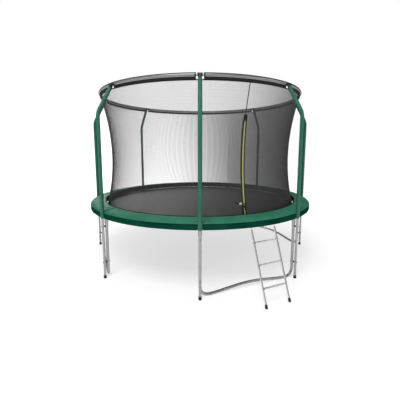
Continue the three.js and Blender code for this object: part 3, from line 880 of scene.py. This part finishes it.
def inflate(obj, held):
    """A short pressure simulation; no point moves further than the cap."""
    cap, frames = 0.010, 18
    rest = [v.co.copy() for v in obj.data.vertices]
    group = obj.vertex_groups.new(name="held")
    group.add(held, 1.0, "REPLACE")
    cloth = obj.modifiers.new("Cloth", "CLOTH")
    settings = dict(quality=6, mass=0.3, tension_stiffness=18, compression_stiffness=18, shear_stiffness=6,
                    bending_stiffness=0.6, shrink_min=-0.012, use_pressure=True,
                    uniform_pressure_force=3.0, vertex_group_mass="held")
    for key, value in settings.items():
        setattr(cloth.settings, key, value)
    cloth.settings.effector_weights.gravity = 0
    cloth.collision_settings.use_collision = False
    scene = bpy.context.scene
    for number in range(1, frames + 1):
        scene.frame_set(number)
    shown = obj.evaluated_get(bpy.context.evaluated_depsgraph_get())
    moved = [v.co.copy() for v in shown.data.vertices]
    obj.modifiers.remove(cloth)
    obj.vertex_groups.clear()
    for v, a, b in zip(obj.data.vertices, rest, moved):
        step = b - a
        if step.length > cap:
            step *= cap / step.length
        v.co = a + step
    scene.frame_set(1)


bay_mesh, bay_columns, bay_across = pad_bay_mesh()
bay = linked("pad_bay", bay_mesh)
columns = [i % bay_columns for i in range(len(bay_mesh.vertices))]
inflate(bay, [i for i, column in enumerate(columns) if column >= bay_across - 1 or column == 0])
smoother = bay.modifiers.new("Subdivision", "SUBSURF")
smoother.levels = 1
bpy.context.view_layer.update()
fine = bpy.data.meshes.new_from_object(bay.evaluated_get(bpy.context.evaluated_depsgraph_get()))
bpy.data.objects.remove(bay)

bay_points = np.array([tuple(v.co) for v in fine.vertices])
bay_faces = [list(p.vertices) for p in fine.polygons]
for number in range(POLES):
    turn = radians(POLE_AZIMUTHS[number] + BAY / 2)
    turned_points = bay_points.copy()
    turned_points[:, 0] = HUB.x + bay_points[:, 0] * cos(turn) - bay_points[:, 1] * sin(turn)
    turned_points[:, 1] = HUB.y + bay_points[:, 0] * sin(turn) + bay_points[:, 1] * cos(turn)
    for point in turned_points:
        low, high = pad_limits(hypot(point[0] - HUB.x, point[1] - HUB.y))
        lift = smooth(low + 0.006, high, point[2])
        point[2] += 0.0024 * lift * noise.noise((point[0] * 7, point[1] * 7, number * 3.1))
    obj = Shell().add((turned_points.tolist(), bay_faces)).piece(
        f"pad_bay_{number + 1}", [PAD], "pad_vinyl", crease=75, stands_for=None if number else "spring_pad")


# --- skirt, one hanging strip to each bay
def skirt_bay(number):
    """A hanging strip with a thick hem and an inward flange, and the piping that joins it to the pad."""
    start, end = POLE_AZIMUTHS[number], POLE_AZIMUTHS[number] + BAY
    pole_half = degrees((SLEEVE_R + 0.0016) / SKIRT_R)
    angles = np.linspace(start + pole_half, end - pole_half, 150)
    top, low = SKIRT_HIGH.z - 0.0005, SKIRT_LOW.z + 0.0005
    section = [(top, 0.0016), (top - 0.004, 0.0022), (top - 0.018, 0.0018), (top - 0.034, 0.0018),
               (low + 0.014, 0.0018), (low + 0.0125, 0.0030), (low + 0.001, 0.0034), (low, 0.0022)]
    face_r, flange = SKIRT_R + 0.0012, 0.022
    verts = []
    for a in angles:
        edge = smooth(0, 2.0, min(a - angles[0], angles[-1] - a))
        broad, fine_wave = noise.noise((a * 0.42, number * 5.3, 0)), noise.noise((a * 1.5, number * 2.3, 4))
        wave = broad * 0.0020 + fine_wave * 0.0008
        hanging = [(face_r + wave * edge * (top - z) / (top - low), z, thick / 2) for z, thick in section]
        loop = [(face_r - flange, top + 0.0070)] + [(r + half, z) for r, z, half in hanging]
        loop += [(r - half, min(z, top - 0.002)) for r, z, half in hanging[::-1]]
        loop.append((face_r - flange, top + 0.0050))
        verts += [polar(r, a, z) for r, z in loop]
    faces = [f[::-1] for f in slab(len(angles), 2 * len(section) + 2)]
    piping = [polar(SKIRT_R - 0.0038, a, top + 0.0046) for a in np.linspace(angles[0], angles[-1], 60)]
    shell = Shell().add((verts, faces)).add(tube(piping, 0.0042, 8, up=UP))
    obj = shell.piece(f"skirt_bay_{number + 1}", [SHADED_SKIRT_VINYL, PAD], "pad_vinyl",
                      stands_for=None if number else "pad_skirt")
    if number == 0:
        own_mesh(obj)


for number in range(POLES):
    skirt_bay(number)


def inner_shade_sheet():
    """A black sheet that hangs from the pad's inner edge and hides the spring hooks: painted shade, dark
    where the gap under the pad lies in shadow.
    """
    low, high = 0.8715, PAD_HIGH.z - 0.004
    inner, thick = PAD_INNER - 0.0012, 0.0018
    verts = []
    for a in np.arange(ROUND_STEPS) * 360 / ROUND_STEPS:
        wave = 0.0012 * noise.noise((cos(radians(a)) * 14, sin(radians(a)) * 14, 0))
        for r, z in ((wave, low), (thick + wave, low), (thick, high), (0, high)):
            verts.append(polar(inner + r, a, z))
    shell = Shell().add((verts, prism(ROUND_STEPS, 4, closed=True)))
    obj = shell.piece("pad_inner_shade_sheet", [WEB], "pad_vinyl")


inner_shade_sheet()


# --- net, hems, hoop sleeve, lacing
def hang(obj):
    """Bakes the object's placement into its mesh."""
    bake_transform(obj)
    return obj


def net_swell(azimuth, z):
    """Slack in the net: it is flat below the hoop and at its hem, and eases in and out between them."""
    free = smooth(NET_LOW.z, NET_LOW.z + 0.25, z) * smooth(0, 0.25, NET_HIGH.z - z)
    between = cos(radians(azimuth + 90) * POLES)
    ripple = noise.noise((cos(radians(azimuth)) * 4, sin(radians(azimuth)) * 4, z * 0.9))
    return free * (-0.004 * between + 0.003 * ripple)


def net_point(azimuth, z):
    return polar(net_radius(z) - 0.0015 + net_swell(azimuth, z), azimuth, z)


def net_wall():
    rows = 44
    verts = []
    for i in range(rows):
        z = NET_LOW.z + (NET_HIGH.z - NET_LOW.z) * i / (rows - 1)
        verts += [net_point(360 * j / ROUND_STEPS, z) for j in range(ROUND_STEPS)]
    shell = Shell().add((verts, lattice(rows, ROUND_STEPS)))
    return hang(shell.piece("net_wall", [NET], "net_mesh", None, crease=180, stands_for="safety_net"))


def net_cords():
    """The knitted mesh's upright cords."""
    count, rows = 1008, 18
    section = ((0.0009, 0), (-0.0005, 0.0008), (-0.0005, -0.0008))
    shell = Shell()
    for k in range(count):
        a = 360 * k / count
        out, side = outward(a), sideways(a)
        verts = []
        for z in np.linspace(NET_LOW.z, NET_HIGH.z, rows):
            p = net_point(a, z)
            verts += [p + out * u + side * v for u, v in section]
        shell.add((verts, prism(rows, len(section))))
    return hang(shell.piece("net_cords", [NET_CORD], "net_mesh", None, crease=180))


def strip(azimuth, low, high, left, right, offset, thickness, rows=40):
    """A tape sewn on the net's outside; left and right are distances from the azimuth."""
    verts = []
    for i in range(rows):
        z = low + (high - low) * i / (rows - 1)
        base = net_radius(z) + offset
        for s, r in ((left, base), (right, base), (right, base + thickness), (left, base + thickness)):
            a = azimuth + degrees(s / base)
            verts.append(polar(r, a, z))
    return verts, prism(rows, 4)


def band(low, high):
    """A flat hem all round the net."""
    inner, outer = -0.0035, 0.0007
    verts = []
    for j in range(ROUND_STEPS):
        for z, r in ((low, inner), (high, inner), (high, outer), (low, outer)):
            verts.append(polar(net_radius(z) + r, 360 * j / ROUND_STEPS, z))
    return verts, [f[::-1] for f in prism(ROUND_STEPS, 4, closed=True)]


def lacing():
    """A cord that runs between the mat's edge and the net's hem, two loops to each spring."""
    low, high = (MAT_R - 0.004, MAT_HIGH.z + 0.0022), (NET_RIM - 0.001, NET_LOW.z + 0.016)
    path = []
    for k in range(2 * SPRINGS):
        radius, z = high if k % 2 else low
        path.append(polar(radius, 180 * k / SPRINGS, z))
    return tube(path, 0.0018, 6, closed=True, up=UP)


wall = net_wall()
cords = net_cords()
hem = Shell().add(band(NET_LOW.z, NET_LOW.z + 0.028))
hem_piece = hang(hem.piece("net_lower_hem", [WEB], "net_mesh", None))
lacing_piece = Shell().add(lacing()).piece("net_lacing", [WEB], "net_mesh", "mat")
Shell().add(band(NET_HIGH.z - 0.012, NET_HIGH.z)).piece("net_upper_hem", [WEB], "net_mesh")


def hoop_sleeve(number):
    """Mesh round the hoop between two caps, with cuffs and the black hem that the net hangs from."""
    start, end = POLE_AZIMUTHS[number] + 1.6, POLE_AZIMUTHS[number] + BAY - 1.6
    angles = np.linspace(start, end, 60)
    lower, wrap, wrap_steps = NET_HIGH.z - 0.002, 0.0185, 15
    turns = [radians(-60 + 300 * k / (wrap_steps - 1)) for k in range(wrap_steps)]
    hem_top = HOOP_Z - 0.0200
    hem_section = ((-0.0065, lower), (-0.0010, lower), (0.0026, hem_top), (-0.0060, hem_top))
    verts, hem_verts = [], []
    for a in angles:
        sag = 0.0012 * noise.noise((a * 0.4, number, 0))
        loop = [(-0.0020, lower + 0.006), (0.0010, HOOP_Z - 0.022)]
        loop += [(sag + wrap * cos(t), HOOP_Z + wrap * sin(t)) for t in turns]
        loop += [(-0.0030, HOOP_Z - 0.022), (-0.0040, lower + 0.006)]
        verts += [polar(HOOP_R + r, a, z) for r, z in loop]
        hem_verts += [polar(HOOP_R + r, a, z) for r, z in hem_section]
    sleeve = Shell().add((verts, lattice(len(angles), wrap_steps + 4, wrap_columns=False))).piece(
        f"hoop_sleeve_{number + 1}", [NET_SLEEVE], "net_mesh", crease=180)
    trim = Shell().add((hem_verts, prism(len(angles), 4)))
    for edge, inward in ((start, 1), (end, -1)):
        cuff = [polar(HOOP_R, edge + inward * d, HOOP_Z) for d in (-0.05, 0.55)]
        trim.add(tube(cuff, 0.0202, 20, up=UP))
    top_seam = [polar(HOOP_R + 0.003, a, HOOP_Z + 0.0176) for a in angles]
    trim.add(tube(top_seam, 0.0042, 6, up=UP))
    hem_piece = trim.piece(f"hoop_hem_{number + 1}", [WEB], "net_mesh")


for number in range(POLES):
    hoop_sleeve(number)


# --- the door's zip
ZIP_LOW, ZIP_HIGH = NET_LOW.z + 0.012, 2.105


def zip_tape():
    """The tape, the stops over its two ends and the seam above it."""
    shell = Shell()
    shell.add(strip(ZIP_AZIMUTH, ZIP_LOW, ZIP_HIGH, -0.034, 0.028, 0.0004, 0.0014))
    shell.add(strip(ZIP_AZIMUTH, ZIP_HIGH - 0.008, ZIP_HIGH + 0.062, -0.024, 0.024, 0.0004, 0.0034, 6))
    shell.add(strip(ZIP_AZIMUTH, ZIP_HIGH + 0.05, NET_HIGH.z, -0.005, 0.005, 0.0002, 0.0030, 16))
    shell.add(strip(ZIP_AZIMUTH, NET_LOW.z + 0.004, NET_LOW.z + 0.060, -0.030, 0.030, 0.0010, 0.0026, 6))
    return hang(shell.piece("zip_tape", [TAPE], "zip_plastic", None))


def zip_teeth():
    """Teeth that reach over the middle from each side in turn, on a yellow cord."""
    pitch = 0.0052
    cord = strip(ZIP_AZIMUTH, ZIP_LOW + 0.035, ZIP_HIGH - 0.006, -0.0075, 0.0075, 0.0016, 0.0012, 60)
    shell = Shell().add(cord)
    faces = [[0, 1, 2, 3], [7, 6, 5, 4], [0, 4, 5, 1], [1, 5, 6, 2], [2, 6, 7, 3], [3, 7, 4, 0]]
    for k in range(int((ZIP_HIGH - ZIP_LOW - 0.05) / pitch)):
        z = ZIP_LOW + 0.038 + pitch * k
        side = -1 if k % 2 else 1
        r = net_radius(z) + 0.0024
        verts = []
        for dz in (-0.0017, 0.0017):
            for s, t in ((-0.0050, 0), (0.0022, 0), (0.0022, 0.0020), (-0.0050, 0.0020)):
                verts.append(polar(r + t, ZIP_AZIMUTH + degrees(-side * s / r), z + dz))
        shell.add((verts, [f[::side] for f in faces]))
    return hang(shell.piece("zip_teeth", [ZIP_YELLOW], "zip_plastic", None, crease=30))


def door_buckle():
    """A pale buckle on a short strap across the zip, near its lower end."""
    azimuth, z = ZIP_AZIMUTH - 2.0, 1.085
    points, faces_out = [], []
    for t in np.linspace(0, 1, 12):
        a = ZIP_AZIMUTH - 4.4 + 5.6 * t
        points.append(polar(net_radius(z - 0.02 * t) + 0.0024, a, z - 0.012 * t))
        faces_out.append((-UP, outward(a)))
    at = polar(net_radius(z) + 0.0040, azimuth, z - 0.005)
    place = placed(at, -sideways(azimuth), UP, outward(azimuth))
    outline = [(-0.019, -0.012), (0.006, -0.013), (0.012, -0.007), (0.022, -0.007), (0.022, 0.007),
               (0.012, 0.007), (0.006, 0.013), (-0.019, 0.012)]
    shell = Shell().add(ribbon(points, faces_out, 0.0095, 0.0014))
    shell.add(plate(outline, 0.006, place, 0.0015), 1)
    hang(shell.piece("door_buckle", [WEB, PALE_PLASTIC], "zip_plastic", None))


def zip_slider():
    """Slider body, its bridge and a hanging pull."""
    tilt = asin((ZIP_SLIDER_Z - NET_MID) / NET_ARC)
    out, side = outward(ZIP_AZIMUTH), sideways(ZIP_AZIMUTH)
    normal = (out * cos(tilt) - UP * sin(tilt)).normalized()
    at = polar(net_radius(ZIP_SLIDER_Z) + 0.0052, ZIP_AZIMUTH, ZIP_SLIDER_Z)
    place = placed(at, side, normal.cross(side).normalized(), normal)
    body = [(-0.006, -0.023), (0.006, -0.023), (0.0098, 0.006), (0.0090, 0.016), (0.004, 0.0225),
            (-0.004, 0.0225), (-0.0090, 0.016), (-0.0098, 0.006)]
    arch = [pi * k / 8 for k in range(9)]
    bridge = [place @ Vector((0, 0.012 * cos(a), 0.0035 + 0.0048 * sin(a))) for a in arch]
    pull_place = place @ Matrix.Translation((0, 0.004, 0.0088))
    pull = [(-0.0035, 0.000), (0.0035, 0.000), (0.0052, -0.020), (0.0055, -0.060), (0.0030, -0.0745),
            (-0.0030, -0.0745), (-0.0055, -0.060), (-0.0052, -0.020)]
    stud = [(0.0040, 0), (0.0044, 0.0008), (0.0040, 0.0016)]
    shell = Shell().add(plate(body, 0.0040, place, 0.0010)).add(tube(bridge, 0.0016, 8))
    shell.add(plate(pull, 0.0024, pull_place, 0.0008))
    shell.add(turned(stud, pull_place @ Vector((0, -0.066, 0.0022)), normal, 16), 1)
    shell.piece("zip_slider_body", [CAP, PALE_PLASTIC], "zip_plastic", "zip_slide", stands_for="zip_slider")


tape_piece, teeth_piece = zip_tape(), zip_teeth()
door_buckle()
zip_slider()


# --- ladder
def ladder_x(z):
    return LADDER_HINGE_X + LADDER_OFFSET + LADDER_RUN * (LADDER_TOP - z) / LADDER_TOP


def ladder_point(y, z, x=None):
    x = ladder_x(z) if x is None else x
    return HUB + outward(LADDER_AZIMUTH) * x + sideways(LADDER_AZIMUTH) * y + Vector((0, 0, z))


def ladder_rail(side, y):
    """A side tube, the flat hook over the frame rail that it hangs by, and a rivet at each rung."""
    across, out = sideways(LADDER_AZIMUTH), outward(LADDER_AZIMUTH)
    inside, hook_start, hook_steps = RAIL_TUBE + 0.005, 171, 14
    points, faces_out = [], []
    for k in range(hook_steps + 1):
        a = radians(hook_start * (1 - k / hook_steps))
        points.append(ladder_point(y, RAIL_Z + inside * sin(a), LADDER_HINGE_X + inside * cos(a)))
        faces_out.append((across, out * cos(a) + UP * sin(a)))
    for t in (0.35, 0.7, 1.0, 1.4):
        bow = smooth(0.5, 1.4, t)
        points.append(ladder_point(y, RAIL_Z - 0.0294 * t, LADDER_HINGE_X + inside + 0.018 * bow))
        faces_out.append((across, (out + UP * (0.8 * bow)).normalized()))
    lap = LADDER_TOP - 0.020
    points.append(ladder_point(y, lap, ladder_x(lap) - 0.002))
    faces_out.append((across, out))
    tube_points = [ladder_point(y, z) for z in np.linspace(0.012, LADDER_TOP - 0.004, 12)]
    shell = Shell().add(tube(tube_points, LADDER_TUBE, 20)).add(ribbon(points, faces_out, 0.011, 0.0045))
    away = across * (1 if y > 0 else -1)
    rivet = [(0.0062, 0), (0.0062, 0.0020), (0.0045, 0.0034), (0.0012, 0.0038)]
    for z in RUNG_HEIGHTS:
        shell.add(turned(rivet, ladder_point(y, z) + away * (LADDER_TUBE - 0.0012), away, 14), 1)
    shell.piece(f"ladder_side_{side}", [LADDER_STEEL, BOLT], "ladder_tube", "ladder",
                stands_for=f"ladder_rail_{side}")


def ladder_rung(number, z):
    """A tube with a weld collar at each end."""
    end = LADDER_HALF - LADDER_TUBE - 0.0004
    collar = [(LADDER_TUBE, 0), (LADDER_TUBE + 0.0014, 0.0012), (LADDER_TUBE + 0.0010, 0.0034)]
    shell = Shell().add(tube([ladder_point(y, z) for y in np.linspace(-end, end, 8)], LADDER_TUBE, 20))
    for sign in (-1, 1):
        start = ladder_point(sign * (end - 0.0035), z)
        shell.add(turned(collar, start, sideways(LADDER_AZIMUTH) * sign, 20))
    shell.piece(f"ladder_step_{number}", [LADDER_STEEL], "ladder_tube", "ladder",
                stands_for=f"ladder_rung_{number}")


def ladder_foot(side, y):
    """A rubber shoe along the side tube, cut flat where it meets the ground."""
    low = ladder_point(y, 0)
    up = (ladder_point(y, LADDER_TOP) - low).normalized()
    across = sideways(LADDER_AZIMUTH)
    front = across.cross(up).normalized()
    radius, sides = 0.0165, 24
    profile = [(0.000, radius - 0.0015), (0.004, radius), (0.010, radius), (0.014, radius - 0.001),
               (0.040, radius - 0.001), (0.044, radius), (0.048, radius - 0.002)]
    verts = []
    for s, r in profile:
        ground = 0.0015 + 0.0020 * smooth(0, 0.012, s) if s > 0 else 0.0
        for j in range(sides):
            a = 2 * pi * j / sides
            p = low + up * s + across * (r * cos(a)) - front * (r * sin(a))
            p.z = max(p.z, ground)
            verts.append(p)
    shell = Shell().add((verts, [f[::-1] for f in prism(len(profile), sides)]))
    shell.piece(f"ladder_shoe_{side}", [RUBBER], "black_rubber", "ladder", stands_for=f"ladder_foot_{side}")


for side, y in (("left", -LADDER_HALF), ("right", LADDER_HALF)):
    ladder_rail(side, y)
    ladder_foot(side, y)
for number, z in enumerate(RUNG_HEIGHTS, 1):
    ladder_rung(number, z)


# --- studio
def flat_panel(name, corners, finish):
    mesh = bpy.data.meshes.new(name)
    mesh.from_pydata(corners, [], [[0, 1, 2, 3]])
    mesh.materials.append(finish.material)
    linked(name, mesh)


def floor():
    """A pale floor that glows a little more further out, so that it has no visible edge."""
    size = 40
    f = Finish("studio_floor", Roughness=0.9, Emission_Color=(1, 1, 1, 1), Specular_IOR_Level=0.0)
    away = f.node("ShaderNodeVectorMath", operation="LENGTH")
    f.link(f.place, away.inputs[0])
    f.set(Emission_Strength=f.map_range(away.outputs["Value"], 1.7, 4.2, 0.62, 0.80))
    f.set(Base_Color=f.grey(f.noise(0.4, 1), 0.60, 0.61))
    flat_panel("studio_floor", [(-size, -size, 0), (size, -size, 0), (size, size, 0), (-size, size, 0)], f)


def softbox(name, at, aim, size, power):
    data = bpy.data.lights.new(name, "AREA")
    data.shape = "SQUARE"
    data.size = size
    data.energy = power
    obj = linked(name, data)
    obj.location = HUB + Vector(at)
    obj.rotation_euler = (HUB + Vector(aim) - obj.location).to_track_quat("-Z", "Y").to_euler()


def sky():
    """White to the camera; as light, dimmer low down and towards the right."""
    world = bpy.data.worlds.new("studio")
    bpy.context.scene.world = world
    world.use_nodes = True
    n = Nodes(world.node_tree)
    output = n.node("ShaderNodeOutputWorld")
    backdrop, light = n.node("ShaderNodeBackground"), n.node("ShaderNodeBackground")
    backdrop.inputs["Color"].default_value = (1, 1, 1, 1)
    backdrop.inputs["Strength"].default_value = 1.0
    light.inputs["Strength"].default_value = 0.50
    x, y, z = n.split(n.node("ShaderNodeTexCoord").outputs["Generated"])
    upward = n.ramp(z, (0.0, (0.62, 0.63, 0.64)), (0.6, (1.15, 1.15, 1.15)))
    levels = ((0.0, 0.50), (0.22, 0.70), (0.42, 1.0), (0.62, 0.80), (0.80, 0.28), (1.0, 0.10))
    flags = n.ramp(n.math("MULTIPLY_ADD", x, 0.5, 0.5), *[(at, (level,) * 3) for at, level in levels])
    n.link(n.multiply(upward, flags), light.inputs["Color"])
    mix = n.node("ShaderNodeMixShader")
    n.link(n.node("ShaderNodeLightPath").outputs["Is Camera Ray"], mix.inputs["Fac"])
    n.link(light.outputs[0], mix.inputs[1])
    n.link(backdrop.outputs[0], mix.inputs[2])
    n.link(mix.outputs[0], output.inputs["Surface"])


def backdrop_glow():
    """A wide glowing panel behind and to the left, as a softbox gives."""
    width, height = 7.0, 3.3
    middle, y = HUB.x - 2.3, HUB.y + 7.0
    left, right = middle - width / 2, middle + width / 2
    f = Finish("glow_panel", Specular_IOR_Level=0.0, Emission_Color=(1, 1, 1, 1), Base_Color=(0, 0, 0, 1))
    x, depth, z = f.split(f.place)
    across = f.math("DIVIDE", f.math("SUBTRACT", x, middle), width / 2)
    glow = f.math("SUBTRACT", 1.0, f.math("MULTIPLY", across, across))
    low = f.math("MULTIPLY_ADD", z, -0.45 / height, 1.45)
    f.set(Emission_Strength=f.math("MULTIPLY", f.math("MULTIPLY_ADD", glow, 0.30, 1.0), low))
    flat_panel("glow_panel", [(left, y, 0), (right, y, 0), (right, y, height), (left, y, height)], f)


floor()
sky()
backdrop_glow()
softbox("key", (-1.5, -5.0, 7.0), (0, 0, 0.9), 3.5, 250)
softbox("left_back", (-4.0, 7.5, 3.2), (0, 0, 0.9), 3.0, 190)
softbox("right_fill", (6.0, -2.5, 4.0), (0, 0, 1.2), 3.0, 50)
bpy.context.scene.view_settings.view_transform = "Standard"
